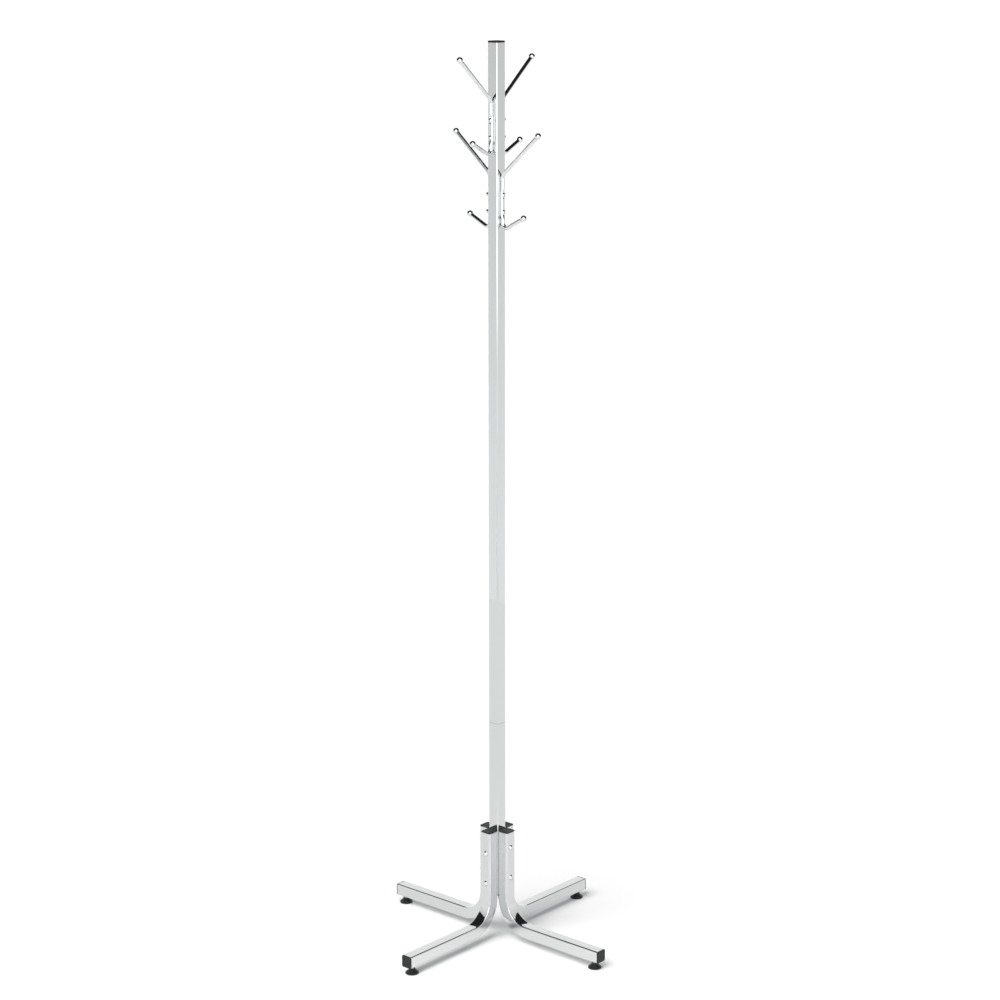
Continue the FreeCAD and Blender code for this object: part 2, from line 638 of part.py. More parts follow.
def make_hooks():
    parts = []
    for level, height, sides in (("upper", "hook_high", UPPER_HOOKS), ("lower", "hook_low", LOWER_HOOKS)):
        for side in sides:
            mount = about_z(SIDES[side], size(height))
            parts.append(make_hook(f"coat_hook_{level}_{side}", mount))
            for kind, rise in (("long", size("long_rise")), ("short", -size("short_drop"))):
                lean = FreeCAD.Rotation(Y_AXIS, 90 - size(f"{kind}_angle"))
                seat = FreeCAD.Placement(FreeCAD.Vector(size(f"{kind}_reach"), 0, rise), lean)
                parts.append(make_ball(f"hook_{kind}_tip_{level}_{side}", mount * seat))
    return parts


# ---------------------------------------------------------------- levelling glides

def turned_part(label, points, placement):
    """A part turned about Z, from an outline of radius and height expressions."""
    body = new_body(label)
    sketch = new_sketch(body, "XZ_Plane", "profile")
    outline(sketch, points)
    revolve(body, sketch, "V_Axis")
    body.Placement = placement
    return body


def glide_base_points():
    rim, edge = "Sizes.glide_dia / 2", "Sizes.glide_edge"
    neck, bore = "Sizes.glide_neck_dia / 2", "Sizes.stem_bore / 2"
    socket = "Sizes.stem_head_dia / 2 + Sizes.head_play"
    return [("0", "0"), (f"{rim} - {edge}", "0"), (rim, edge), (rim, "Sizes.glide_rim"),
            (neck, "Sizes.glide_cone_top"), (neck, "Sizes.glide_height"),
            (bore, "Sizes.glide_height"), (bore, "Sizes.socket_roof"),
            (socket, "Sizes.socket_roof"), (socket, "Sizes.socket_floor"),
            ("0", "Sizes.socket_floor")]


def glide_stem_points():
    head, stem = "Sizes.stem_head_dia / 2", "Sizes.stem_dia / 2"
    low, high = "Sizes.socket_floor + Sizes.head_play", "Sizes.socket_roof - Sizes.head_play"
    return [("0", low), (head, low), (head, high), (stem, high),
            (stem, "Sizes.stem_top - Sizes.stem_point"),
            (f"{stem} - Sizes.stem_point", "Sizes.stem_top"), ("0", "Sizes.stem_top")]


def glide_insert_points():
    flange, barrel, bore = "Sizes.insert_flange_dia / 2", "Sizes.insert_dia / 2", "Sizes.stem_bore / 2"
    low = "Sizes.leg_bottom - Sizes.insert_flange"
    return [(bore, low), (flange, low), (flange, "Sizes.leg_bottom"), (barrel, "Sizes.leg_bottom"),
            (barrel, "Sizes.insert_top"), (bore, "Sizes.insert_top")]


def make_glides():
    parts = []
    for side, turn in SIDES.items():
        out = about_z(turn) * FreeCAD.Placement(X_AXIS * size("glide_reach"), FreeCAD.Rotation())
        parts.append(turned_part(f"glide_base_{side}", glide_base_points(), out))
        parts.append(turned_part(f"glide_stem_{side}", glide_stem_points(), out))
        parts.append(turned_part(f"glide_insert_{side}", glide_insert_points(), out))
    return parts


# ---------------------------------------------------------------- build, test and write

def test_document(parts):
    """Stop if a feature failed or a part has no sound solid."""
    for item in doc.Objects:
        if "Invalid" in item.State or "Error" in item.State:
            raise RuntimeError(f"{item.Label} failed: {item.State}")
    for part in parts:
        if part.Shape.isNull() or not part.Shape.isValid() or not part.Shape.Solids:
            raise RuntimeError(f"{part.Label} has no valid solid")


def write_parts(parts):
    os.makedirs("parts", exist_ok=True)
    for part in parts:
        part.Shape.exportStep(f"parts/{part.Label}.step")


def main():
    fill_sheet()
    parts = (make_post() + make_post_plugs() + make_legs() + make_fasteners() + make_hooks()
             + make_glides())
    doc.recompute()
    test_document(parts)
    write_parts(parts)
    for part in parts:
        print(f"{part.Label}: {len(part.Shape.Solids)} solids, {part.Shape.Volume:.1f} mm3")


main()
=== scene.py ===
"""Looks for the standing coat rack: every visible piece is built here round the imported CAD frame."""
import json
import math

import bmesh
import bpy
from mathutils import Matrix, Vector


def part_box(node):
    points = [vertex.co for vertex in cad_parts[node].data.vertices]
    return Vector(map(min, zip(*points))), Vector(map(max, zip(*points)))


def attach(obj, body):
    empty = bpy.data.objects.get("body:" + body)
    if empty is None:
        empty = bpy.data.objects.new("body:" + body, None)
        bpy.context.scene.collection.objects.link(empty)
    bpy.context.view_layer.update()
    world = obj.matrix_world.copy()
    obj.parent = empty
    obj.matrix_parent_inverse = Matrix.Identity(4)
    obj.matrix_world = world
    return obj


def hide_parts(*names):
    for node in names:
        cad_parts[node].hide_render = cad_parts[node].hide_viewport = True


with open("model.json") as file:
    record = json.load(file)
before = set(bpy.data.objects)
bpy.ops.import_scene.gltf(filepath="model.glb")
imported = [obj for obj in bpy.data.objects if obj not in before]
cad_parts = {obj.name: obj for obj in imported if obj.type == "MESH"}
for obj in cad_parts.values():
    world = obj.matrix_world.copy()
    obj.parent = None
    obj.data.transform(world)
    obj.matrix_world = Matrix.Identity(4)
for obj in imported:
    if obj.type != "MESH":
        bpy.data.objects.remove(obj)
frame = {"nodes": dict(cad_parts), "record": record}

MM = 0.001
FULL_TURN = 2 * math.pi
UP = Vector((0.0, 0.0, 1.0))
SIDEWAYS = Vector((0.0, 1.0, 0.0))
OUTWARD = Vector((1.0, 0.0, 0.0))
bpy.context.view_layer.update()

SIDES = {"front_right": 0.0, "back_right": 90.0, "back_left": 180.0, "front_left": 270.0}
HOOKS = {"upper_front_left": "upper", "upper_back_right": "upper",
         "lower_front_right": "lower", "lower_back_left": "lower"}
LEG_PAIRS = {"front_left_back_right": "front_left", "front_right_back_left": "front_right"}
HOOK_PAIRS = {"upper": "front_left", "lower": "front_right"}
SLOT_OF = {item["node"]: item["material_slot"] for item in frame["record"]["subparts"]}
ROOT_BODY = "rack"


# ---------------------------------------------------------------- camera

CAMERA_DISTANCE = 4.6836
CAMERA_HEIGHT = 2.0136
CAMERA_AZIMUTH = math.radians(41.125)
CAMERA_TILT = math.radians(13.059)
CAMERA_PAN = math.radians(-0.075)
CAMERA_ROLL = math.radians(-0.053)
CAMERA_LENS = 86.7
CAMERA_SENSOR = 36.0
CAMERA_REACH = 500.0
TOWARDS_CAMERA = Vector((math.sin(CAMERA_AZIMUTH), -math.cos(CAMERA_AZIMUTH), 0.0))
CAMERA_RIGHT = Vector((math.cos(CAMERA_AZIMUTH), math.sin(CAMERA_AZIMUTH), 0.0))


def make_camera():
    data = bpy.data.cameras.new("camera")
    data.sensor_width = CAMERA_SENSOR
    data.lens = CAMERA_LENS
    data.clip_end = CAMERA_REACH
    camera = bpy.data.objects.new("camera", data)
    turn = (Matrix.Rotation(CAMERA_AZIMUTH + CAMERA_PAN, 4, "Z")
            @ Matrix.Rotation(math.pi / 2 - CAMERA_TILT, 4, "X")
            @ Matrix.Rotation(CAMERA_ROLL, 4, "Z"))
    camera.matrix_world = Matrix.Translation(TOWARDS_CAMERA * CAMERA_DISTANCE + UP * CAMERA_HEIGHT) @ turn
    bpy.context.scene.collection.objects.link(camera)
    bpy.context.scene.camera = camera


# ---------------------------------------------------------------- material helpers

def new_material(name):
    material = bpy.data.materials.new(name)
    material.use_nodes = True
    nodes = material.node_tree.nodes
    return material, nodes, material.node_tree.links, nodes["Principled BSDF"]


def noise(nodes, links, scale, detail=3.0, roughness=0.5, stretch=(1.0, 1.0, 1.0)):
    coords = nodes.new("ShaderNodeTexCoord")
    mapping = nodes.new("ShaderNodeMapping")
    mapping.inputs["Scale"].default_value = stretch
    texture = nodes.new("ShaderNodeTexNoise")
    texture.inputs["Scale"].default_value = scale
    texture.inputs["Detail"].default_value = detail
    texture.inputs["Roughness"].default_value = roughness
    links.new(coords.outputs["Object"], mapping.inputs["Vector"])
    links.new(mapping.outputs["Vector"], texture.inputs["Vector"])
    return texture.outputs["Fac"]


def remap(nodes, links, value, low, high, start=0.0, end=1.0):
    ramp = nodes.new("ShaderNodeMapRange")
    ramp.inputs["From Min"].default_value = start
    ramp.inputs["From Max"].default_value = end
    ramp.inputs["To Min"].default_value = low
    ramp.inputs["To Max"].default_value = high
    links.new(value, ramp.inputs["Value"])
    return ramp.outputs["Result"]


def tint(nodes, links, value, dark, light):
    """A colour that runs from dark to light as the value goes from 0 to 1."""
    mix = nodes.new("ShaderNodeMix")
    mix.data_type = "RGBA"
    mix.inputs["A"].default_value = (*dark, 1.0)
    mix.inputs["B"].default_value = (*light, 1.0)
    links.new(value, mix.inputs["Factor"])
    return mix.outputs["Result"]


def bump(nodes, links, height, shader, strength, distance):
    node = nodes.new("ShaderNodeBump")
    node.inputs["Strength"].default_value = strength
    node.inputs["Distance"].default_value = distance
    links.new(height, node.inputs["Height"])
    links.new(node.outputs["Normal"], shader.inputs["Normal"])


# ---------------------------------------------------------------- materials

# dark and light colours of the plate
TUBE_CHROME = ((0.620, 0.631, 0.635), (0.662, 0.673, 0.677))
ROD_CHROME = ((0.680, 0.690, 0.695), (0.720, 0.730, 0.735))
SMUDGE_RANGE = (0.35, 0.75)
PLATE_SCALE = 3.5
WAVE_SCALE = 22.0
WAVE_STRETCH = (1.0, 1.0, 0.35)
WAVE_STRENGTH = 0.6
PLASTIC_SHINE = 0.30
PATCH_SCALE = 60.0
GRAIN_SPREAD = 0.10
GRAIN_STRENGTH = 0.5
GRAIN_DEPTH = 0.12 * MM
SPANGLE_SHINE = 0.08
SPANGLE_DULL = 0.12
SPANGLE_STRENGTH = 0.3
SPANGLE_DEPTH = 0.03 * MM


def chrome(name, colours, ripple, smudge_scale, smooth=0.025, dull=0.075):
    """Bright chrome plate: faint smudges, and a ripple left by polishing the steel under it."""
    material, nodes, links, shader = new_material(name)
    shader.inputs["Metallic"].default_value = 1.0
    smudges = noise(nodes, links, smudge_scale, detail=5.0, roughness=0.6)
    links.new(remap(nodes, links, smudges, smooth, dull, *SMUDGE_RANGE), shader.inputs["Roughness"])
    plate = noise(nodes, links, PLATE_SCALE, detail=2.0)
    links.new(tint(nodes, links, plate, *colours), shader.inputs["Base Color"])
    waves = noise(nodes, links, WAVE_SCALE, detail=1.0, stretch=WAVE_STRETCH)
    bump(nodes, links, waves, shader, WAVE_STRENGTH, ripple)
    return material


def plastic(name, dark, light, grain_scale, roughness):
    """Moulded black plastic: a fine spark-eroded grain, with a little wear and dust in the colour."""
    material, nodes, links, shader = new_material(name)
    shader.inputs["Specular IOR Level"].default_value = PLASTIC_SHINE
    grain = noise(nodes, links, grain_scale, roughness=0.6)
    patches = noise(nodes, links, PATCH_SCALE, detail=4.0)
    links.new(tint(nodes, links, patches, dark, light), shader.inputs["Base Color"])
    gloss = remap(nodes, links, grain, roughness - GRAIN_SPREAD, roughness + GRAIN_SPREAD)
    links.new(gloss, shader.inputs["Roughness"])
    bump(nodes, links, grain, shader, GRAIN_STRENGTH, GRAIN_DEPTH)
    return material


def steel(name, dark, light, spangle_scale, roughness):
    """Zinc-plated or bare steel: small spangles in the colour and in the gloss."""
    material, nodes, links, shader = new_material(name)
    shader.inputs["Metallic"].default_value = 1.0
    spangle = noise(nodes, links, spangle_scale, detail=2.0)
    links.new(tint(nodes, links, spangle, dark, light), shader.inputs["Base Color"])
    gloss = remap(nodes, links, spangle, roughness - SPANGLE_SHINE, roughness + SPANGLE_DULL)
    links.new(gloss, shader.inputs["Roughness"])
    bump(nodes, links, spangle, shader, SPANGLE_STRENGTH, SPANGLE_DEPTH)
    return material


LOOKS = {
    "chrome_tube": chrome("chrome_tube", TUBE_CHROME, ripple=0.08 * MM, smudge_scale=14.0),
    "chrome_rod": chrome("chrome_rod", ROD_CHROME, ripple=0.03 * MM, smudge_scale=30.0),
    "chrome_fastener": chrome("chrome_fastener", ROD_CHROME, ripple=0.01 * MM, smudge_scale=60.0,
                              smooth=0.04, dull=0.10),
    "inner_steel": steel("inner_steel", dark=(0.30, 0.29, 0.28), light=(0.45, 0.45, 0.44),
                         spangle_scale=90.0, roughness=0.42),
    "zinc_steel": steel("zinc_steel", dark=(0.50, 0.51, 0.50), light=(0.64, 0.65, 0.66),
                        spangle_scale=500.0, roughness=0.30),
    "plug_plastic": plastic("plug_plastic", dark=(0.007, 0.010, 0.011), light=(0.013, 0.017, 0.018),
                            grain_scale=1500.0, roughness=0.50),
    "glide_plastic": plastic("glide_plastic", dark=(0.010, 0.012, 0.012), light=(0.018, 0.021, 0.020),
                             grain_scale=1100.0, roughness=0.42),
}


# ---------------------------------------------------------------- mesh helpers

def ease(value, low, high):
    t = min(1.0, max(0.0, (value - low) / (high - low)))
    return t * t * (3 - 2 * t)


def skin(rings, wrap=False):
    """Faces between neighbouring rings. A ring of one point is a pole; open ends are capped."""
    points, faces, starts = [], [], []
    for ring in rings:
        starts.append(len(points))
        points += ring
    pairs = [(n, n + 1) for n in range(len(rings) - 1)] + ([(len(rings) - 1, 0)] if wrap else [])
    for here, there in pairs:
        count = max(len(rings[here]), len(rings[there]))
        for n in range(count):
            near = [starts[here] + k % len(rings[here]) for k in (n, n + 1)]
            far = [starts[there] + k % len(rings[there]) for k in (n + 1, n)]
            faces.append(list(dict.fromkeys(near + far)))
    for end in () if wrap else (0, len(rings) - 1):
        if len(rings[end]) > 1:
            faces.append([starts[end] + k for k in range(len(rings[end]))])
    return points, faces


def turned_ring(radius, height, count):
    """A ring about Z. The radius is a length or a function of the angle; zero gives a pole."""
    if radius == 0:
        return [UP * height]
    ring = []
    for n in range(count):
        angle = FULL_TURN * n / count
        reach = radius(angle) if callable(radius) else radius
        ring.append(Vector((reach * math.cos(angle), reach * math.sin(angle), height)))
    return ring


def turned(profile, count=48, wrap=False):
    """A turned shape from (radius, height) pairs."""
    return skin([turned_ring(radius, height, count) for radius, height in profile], wrap)


def arc(radius, height, size, first, last, steps):
    """(radius, height) pairs along an arc about a point of the profile, angles in degrees."""
    angles = [math.radians(first + (last - first) * n / steps) for n in range(steps + 1)]
    return [(radius + size * math.cos(a), height + size * math.sin(a)) for a in angles]


def dome(low, high, steps):
    """(radius, height) pairs along the arc about the axis that joins two points of the profile."""
    (r1, h1), (r2, h2) = low, high
    centre = (r2 ** 2 + h2 ** 2 - r1 ** 2 - h1 ** 2) / (2 * (h2 - h1))
    size = math.hypot(r1, h1 - centre)
    first, last = (math.degrees(math.atan2(h - centre, r)) for r, h in (low, high))
    return arc(0.0, centre, size, first, last, steps)


def hexagon(flats):
    """The radius of a hexagon as a function of the angle, for its width across flats."""
    sixth = math.pi / 3
    return lambda angle: flats / 2 / math.cos((angle + sixth / 2) % sixth - sixth / 2)


def chamfered(flats, cone):
    """A hexagon whose corners are turned off at a cone's radius."""
    whole = hexagon(flats)
    return lambda angle: min(whole(angle), cone)


THREAD_ROWS = 8
THREAD_RUN_OUT = 1.5
THREAD_CREST = 1.25


def thread(minor, major, pitch, low, high):
    """(radius, height) pairs of a screw thread, fading out at both ends."""
    profile = []
    count = int(THREAD_ROWS * (high - low) / pitch)
    run_out = THREAD_RUN_OUT * pitch
    for row in range(count + 1):
        height = low + (high - low) * row / count
        depth = (major - minor) * min(1.0, (height - low) / run_out, (high - height) / run_out)

        def reach(angle, height=height, depth=depth):
            phase = (height / pitch - angle / FULL_TURN) % 1.0
            return minor + depth * min(1.0, THREAD_CREST * (1 - abs(2 * phase - 1)))

        profile.append((reach, height))
    return profile


def square_section(half, corner, spans, corner_steps=6):
    """A rounded square as (x, y) pairs, with each flat cut into spans."""
    flat = half - corner
    section = []
    for quarter in range(4):
        turn = Matrix.Rotation(quarter * math.pi / 2, 2)
        for n in range(1, spans):
            section.append(turn @ Vector((half, -flat + 2 * flat * n / spans)))
        for n in range(corner_steps + 1):
            angle = math.pi / 2 * n / corner_steps
            section.append(turn @ Vector((flat + corner * math.cos(angle), flat + corner * math.sin(angle))))
    return section


def run_frames(start, end, tangent, step):
    """Frames along a straight run: (place, tangent, share of its bend)."""
    count = max(1, round((end - start).length / step))
    return [(start.lerp(end, n / count), tangent, 0.0) for n in range(count + 1)]


def path_frames(points, radii, run_steps, arc_step):
    """Frames along straight runs joined by arcs, in the XZ plane."""
    frames = []
    start = points[0]
    for n, radius in enumerate(radii, start=1):
        corner = points[n]
        into, away = (corner - points[n - 1]).normalized(), (points[n + 1] - corner).normalized()
        turn = into.angle(away)
        setback = radius * math.tan(turn / 2)
        first = corner - into * setback
        frames += run_frames(start, first, into, run_steps[n - 1])
        axis = into.cross(away).normalized()
        centre = first + axis.cross(into) * radius
        steps = math.ceil(turn / arc_step)
        for k in range(1, steps):
            spin = Matrix.Rotation(turn * k / steps, 3, axis)
            frames.append((centre + spin @ (first - centre), spin @ into, k / steps))
        start = corner + away * setback
    return frames + run_frames(start, points[-1], away, run_steps[-1])


def frame_ring(place, tangent, section):
    """A section set across a path: x runs towards the left of the path, y along Y."""
    left = tangent.cross(SIDEWAYS)
    return [place + left * x + SIDEWAYS * y for x, y in section]


def moved(shape, matrix):
    points, faces = shape
    return [matrix @ point for point in points], faces


def side_turn(side):
    return Matrix.Rotation(math.radians(SIDES[side]), 4, "Z")


def mesh_of(name, shapes):
    """One mesh from closed shapes, with its normals outward."""
    mesh = bpy.data.meshes.new(name)
    points, faces = [], []
    for shape_points, shape_faces in shapes:
        faces += [[n + len(points) for n in face] for face in shape_faces]
        points += shape_points
    mesh.from_pydata(points, [], faces)
    work = bmesh.new()
    work.from_mesh(mesh)
    bmesh.ops.recalc_face_normals(work, faces=work.faces)
    work.to_mesh(mesh)
    work.free()
    return mesh


def drill(obj, holes):
    """Cut round holes through a piece. Each hole is its start, its end and its radius."""
    shapes = []
    for start, end, radius in holes:
        along = end - start
        place = Matrix.Translation(start) @ along.to_track_quat("Z", "Y").to_matrix().to_4x4()
        shapes.append(moved(turned([(radius, 0.0), (radius, along.length)], 40), place))
    cutter = bpy.data.objects.new("cutter", mesh_of("cutter", shapes))
    bpy.context.scene.collection.objects.link(cutter)
    cut = obj.modifiers.new("holes", "BOOLEAN")
    cut.operation = "DIFFERENCE"
    cut.solver = "EXACT"
    cut.object = cutter
    bpy.context.view_layer.update()
    seen = obj.evaluated_get(bpy.context.evaluated_depsgraph_get())
    obj.data = bpy.data.meshes.new_from_object(seen)
    obj.modifiers.clear()
    bpy.data.objects.remove(cutter)


HARD_EDGE = math.radians(38)


def add_piece(node, shapes, holes=(), body=ROOT_BODY):
    """Build the piece that stands for one CAD node, and give it its finish."""
    obj = bpy.data.objects.new(f"{node}_finished", mesh_of(node, shapes))
    bpy.context.scene.collection.objects.link(obj)
    if holes:
        drill(obj, holes)
    obj.data.shade_smooth()
    obj.data.set_sharp_from_angle(angle=HARD_EDGE)
    even = obj.modifiers.new("even_flats", "WEIGHTED_NORMAL")
    even.keep_sharp = True
    obj.data.materials.clear()
    obj.data.materials.append(LOOKS[SLOT_OF[node]])
    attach(obj, body)
    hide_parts(node)


# ---------------------------------------------------------------- places read from the frame

POST_LOW, POST_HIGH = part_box("upper_post")
POST_BOTTOM, POST_JOINT, POST_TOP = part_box("lower_post")[0].z, POST_LOW.z, POST_HIGH.z
TUBE = POST_HIGH.x - POST_LOW.x
TUBE_WALL = 1.2 * MM
TUBE_CORNER = 3.0 * MM
INNER_HALF = TUBE / 2 - TUBE_WALL
LEG_LOW, LEG_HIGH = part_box("leg_front_right")
LEG_LEVEL = LEG_LOW.z + TUBE / 2
LEG_HOLE = 3.3 * MM
HOOK_HOLE = 2.7 * MM
INSERT_HOLE = 5.5 * MM


def bolt_places(node):
    """The heights of a node's two bolts, and the radius of their heads."""
    low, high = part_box(node)
    radius = min(high.x - low.x, high.y - low.y) / 2
    return (low.z + radius, high.z - radius), radius


# ---------------------------------------------------------------- post

EASED = 0.25 * MM


def tube_skin(frames, section_at):
    """A hollow tube along a path, the outer edges of its ends eased."""
    (start, into, _), (end, away, _) = frames[0], frames[-1]
    outer = [(start, into, 0.0, EASED), (start + into * EASED, into, 0.0, 0.0)]
    outer += [(*frame_at, 0.0) for frame_at in frames[1:-1]]
    outer += [(end - away * EASED, away, 0.0, 0.0), (end, away, 0.0, EASED)]
    rings = [frame_ring(place, tangent, section_at(TUBE / 2 - inset, TUBE_CORNER - inset, bend))
             for place, tangent, bend, inset in outer]
    rings += [frame_ring(place, tangent, section_at(INNER_HALF, TUBE_CORNER - TUBE_WALL, bend))
              for place, tangent, bend in reversed(frames)]
    return skin(rings, wrap=True)


def plain_section(half, corner, bend):
    return square_section(half, corner, 1)


def cross_holes(node, along, radius):
    heights, _ = bolt_places(node)
    return [(along * -TUBE + UP * height, along * TUBE + UP * height, radius) for height in heights]


def make_post():
    spans = {"lower_post": (POST_BOTTOM, POST_JOINT), "upper_post": (POST_JOINT, POST_TOP)}
    holes = {"lower_post": cross_holes("leg_bolts_front_left_back_right", SIDEWAYS, LEG_HOLE)
             + cross_holes("leg_bolts_front_right_back_left", OUTWARD, LEG_HOLE),
             "upper_post": cross_holes("hook_bolts_upper", SIDEWAYS, HOOK_HOLE)
             + cross_holes("hook_bolts_lower", OUTWARD, HOOK_HOLE)}
    for node, (low, high) in spans.items():
        frames = run_frames(UP * low, UP * high, UP, high - low)
        add_piece(node, [tube_skin(frames, plain_section)], holes[node])


# ---------------------------------------------------------------- plugs

PLUG_FINS = 3
FIN_DEPTH = 0.7 * MM
# where a fin starts, is full, starts to narrow and ends, in shares of the fins' pitch
FIN_SHARES = (0.4, 0.55, 0.85, 1.0)
FIN_MARGIN = 0.5
SPIGOT_WALL = 2.0 * MM
SPIGOT_CORNER = 0.8 * MM
TOP_CAP_EDGE = 0.9 * MM
PLUG_EDGE = 0.6 * MM
PLUG_BEVEL = 0.3 * MM
PLUG_BORDER = 3.5 * MM
FACE_SLOPE = 0.5 * MM
FACE_SINK = 0.12 * MM


def plug_shape(flange, depth, edge):
    """A moulded tube plug: a flange with a rounded rim, over a hollow spigot with soft fins."""
    rim, hollow, core = TUBE / 2, INNER_HALF - SPIGOT_WALL, INNER_HALF - FIN_DEPTH
    rows = [(hollow, 0.0), (hollow, -depth), (core, -depth)]
    pitch = depth / (PLUG_FINS + FIN_MARGIN)
    for fin in range(PLUG_FINS):
        heights = [pitch * (fin + share) - depth for share in FIN_SHARES]
        rows += zip((core, INNER_HALF, INNER_HALF, core), heights)
    rows += [(core, 0.0), (rim - PLUG_BEVEL, 0.0), (rim, PLUG_BEVEL)]
    rows += arc(rim - edge, flange - edge, edge, 0, 90, 6)
    rows += [(rim - PLUG_BORDER, flange), (rim - PLUG_BORDER - FACE_SLOPE, flange - FACE_SINK)]
    rings = []
    for half, height in rows:
        corner = max(SPIGOT_CORNER, TUBE_CORNER - (rim - half))
        rings.append([Vector((x, y, height)) for x, y in square_section(half, corner, 1)])
    return skin(rings)


def add_plug(node, place, towards, edge):
    """towards is the way its flange faces; place is the middle of its tube's end."""
    near, far = sorted(corner.dot(towards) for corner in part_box(node))
    end = place.dot(towards)
    turn = towards.to_track_quat("Z", "Y").to_matrix().to_4x4()
    add_piece(node, [moved(plug_shape(far - end, end - near, edge), Matrix.Translation(place) @ turn)])


def make_plugs():
    add_plug("post_top_cap", UP * POST_TOP, UP, TOP_CAP_EDGE)
    add_plug("post_bottom_plug", UP * POST_BOTTOM, -UP, PLUG_EDGE)
    top = OUTWARD * TUBE + UP * LEG_HIGH.z
    end = OUTWARD * LEG_HIGH.x + UP * LEG_LEVEL
    for side in SIDES:
        turn = side_turn(side)
        add_plug(f"leg_top_cap_{side}", turn @ top, UP, PLUG_EDGE)
        add_plug(f"leg_end_cap_{side}", turn @ end, turn @ OUTWARD, PLUG_EDGE)


# ---------------------------------------------------------------- legs

LEG_BEND = 60.0 * MM
LEG_ARC_STEP = math.radians(2.5)
BEND_DISH = 1.0 * MM
BEND_FLATTEN = 0.55 * MM
BEND_BULGE = 0.20 * MM
BEND_SPANS = 6
BEND_GATHERS = 1.5


def bent_section(half, corner, bend):
    """The tube's section, dished inside its bend, flattened outside it and swollen at its sides."""
    weight = math.sin(math.pi * bend) ** BEND_GATHERS
    section = []
    for x, y in square_section(half, corner, BEND_SPANS):
        along_wall, along_side = max(0.0, 1 - (y / half) ** 2), max(0.0, 1 - (x / half) ** 2)
        inside, outside = max(0.0, x / half) ** 2, max(0.0, -x / half) ** 2
        dx = weight * along_wall * (BEND_FLATTEN * outside - BEND_DISH * inside)
        dy = weight * along_side * BEND_BULGE * math.copysign((y / half) ** 2, y)
        section.append((x + dx, y + dy))
    return section


def make_legs():
    path = [OUTWARD * TUBE + UP * LEG_HIGH.z, OUTWARD * TUBE + UP * LEG_LEVEL,
            OUTWARD * LEG_HIGH.x + UP * LEG_LEVEL]
    long_run = LEG_HIGH.x
    shape = tube_skin(path_frames(path, [LEG_BEND], [long_run, long_run], LEG_ARC_STEP), bent_section)
    stem_low, stem_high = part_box("glide_stem_front_right")
    glide = OUTWARD * (stem_low.x + stem_high.x) / 2
    for pair, first in LEG_PAIRS.items():
        heights, _ = bolt_places(f"leg_bolts_{pair}")
        holes = [(OUTWARD * TUBE / 4 + UP * z, OUTWARD * 2 * TUBE + UP * z, LEG_HOLE) for z in heights]
        holes.append((glide, glide + UP * (LEG_LEVEL - TUBE / 4), INSERT_HOLE))
        second = pair.replace(first, "").strip("_")
        for side in (first, second):
            turn = side_turn(side)
            placed_holes = [(turn @ start, turn @ end, radius) for start, end, radius in holes]
            add_piece(f"leg_{side}", [moved(shape, turn)], placed_holes)


# ---------------------------------------------------------------- fasteners

LEG_BOLT = {"shank": 3.0 * MM, "pitch": 1.0 * MM, "flat": 2.8 * MM, "socket": 4.0 * MM,
            "thread": 22.0 * MM, "hexagon": 5.0 * MM, "flats": 10.0 * MM, "dome": 4.75 * MM}
HOOK_BOLT = {"shank": 2.5 * MM, "pitch": 0.8 * MM, "flat": 2.3 * MM, "socket": 3.0 * MM,
             "thread": 12.0 * MM, "hexagon": 4.0 * MM, "flats": 8.0 * MM, "dome": 3.75 * MM}
SOCKET_FLOOR = 0.4
SOCKET_POINT = 0.5 * MM
MOUTH_WIDTH = 0.62
MOUTH_DEPTH = 0.25 * MM
MOUTH_DROP = 0.02 * MM
HEAD_LIP = 0.45 * MM
HEAD_BEVEL = 0.15 * MM
HEAD_STEPS = 9
NECK_FILLET = 0.3 * MM
THREAD_DEPTH = 0.6
THREAD_GAP = 0.4 * MM
TIP_BEVEL = 0.8 * MM
TIP_INSET = 0.3 * MM
NUT_PLAY = 0.05 * MM
NUT_BEVEL = 0.4 * MM
NUT_FACE = 0.95
NUT_STEPS = 12
CHAMFER_SLOPE = 1.73
CHAMFER_LEVELS = (0.0, 0.15 * MM, 0.3 * MM, 0.45 * MM, 0.65 * MM)


def bolt_shape(kind, head, rim, length):
    """A button-head bolt along Z: its head is above the origin and its shank below."""
    shank, flat, pitch, socket = kind["shank"], kind["flat"], kind["pitch"], hexagon(kind["socket"])
    floor, minor, thread_top = head * SOCKET_FLOOR, shank - THREAD_DEPTH * pitch, kind["thread"] - length
    profile = [(0, floor - SOCKET_POINT), (socket, floor), (socket, head - MOUTH_DEPTH),
               (kind["socket"] * MOUTH_WIDTH, head - MOUTH_DROP), (flat, head)]
    profile += dome((flat, head), (rim, HEAD_LIP), HEAD_STEPS)[1:]
    profile += [(rim, HEAD_BEVEL), (rim - HEAD_BEVEL, 0.0)]
    profile += [(shank + NECK_FILLET, 0.0), (shank, -NECK_FILLET), (shank, thread_top)]
    profile += reversed(thread(minor, shank, pitch, TIP_BEVEL - length, thread_top - THREAD_GAP))
    profile += [(minor - TIP_INSET, -length), (0, -length)]
    return turned(profile)


def cap_nut_shape(kind, height):
    """A domed cap nut along Z, its seat at the origin."""
    flats, tall, ball, bore = kind["flats"], kind["hexagon"], kind["dome"], kind["shank"] + NUT_PLAY
    depth = tall + bore / 2
    corners = [(chamfered(flats, NUT_FACE * flats / 2 + CHAMFER_SLOPE * z), z) for z in CHAMFER_LEVELS]
    profile = [(0, depth), (bore, depth), (bore, NUT_BEVEL), (bore + NUT_BEVEL, 0.0)]
    profile += corners
    profile += [(corner, tall - z) for corner, z in reversed(corners)]
    profile += arc(0.0, height - ball, ball, 0, 90, NUT_STEPS)[:-1]
    profile.append((0, height))
    return turned(profile)


